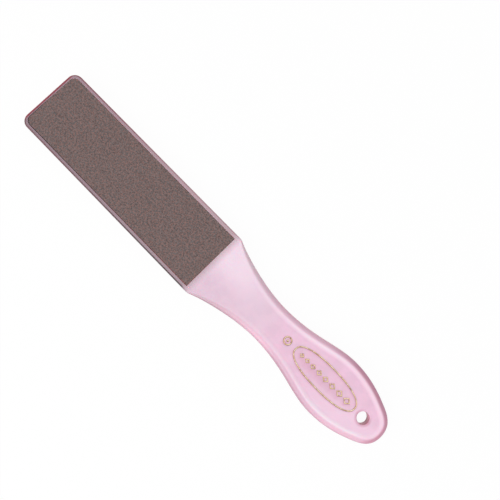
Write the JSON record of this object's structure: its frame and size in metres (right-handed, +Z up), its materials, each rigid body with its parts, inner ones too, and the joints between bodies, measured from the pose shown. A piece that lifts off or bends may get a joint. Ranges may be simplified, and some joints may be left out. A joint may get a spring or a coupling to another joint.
{
  "type": "foot file",
  "caption": "Paddle-shaped foot file with a coarse and a fine abrasive sheet glued into its faces, a waisted handle of translucent plastic and a hanging hole.",
  "frame": {"origin": "under the middle of the file's length and width, in the plane that the file lies on", "axes": "+X along the file towards the handle's end, +Z up out of the coarse face, +Y across the file"},
  "size_m": [0.2512, 0.0402, 0.0076],
  "materials": {
    "body_plastic": "translucent pink moulded plastic with a satin surface",
    "adhesive_film": "clear pressure-sensitive adhesive film over the pink recess",
    "coarse_paper": "waterproof abrasive backing paper, brown",
    "coarse_mineral": "coarse brown mineral grains bound in resin",
    "fine_paper": "waterproof abrasive backing paper, dark blue grey",
    "fine_mineral": "fine dark blue grains bound in resin",
    "gold_foil": "hot-stamped gold foil, slightly worn at its edges"
  },
  "bodies": {
    "root": {"handle_body": "body_plastic", "coarse_adhesive": "adhesive_film", "coarse_backing": "coarse_paper", "coarse_grit": "coarse_mineral", "fine_adhesive": "adhesive_film", "fine_backing": "fine_paper", "fine_grit": "fine_mineral", "oval_foil": "gold_foil", "lozenge_foil": "gold_foil", "ring_foil": "gold_foil"}
  },
  "joints": []
}
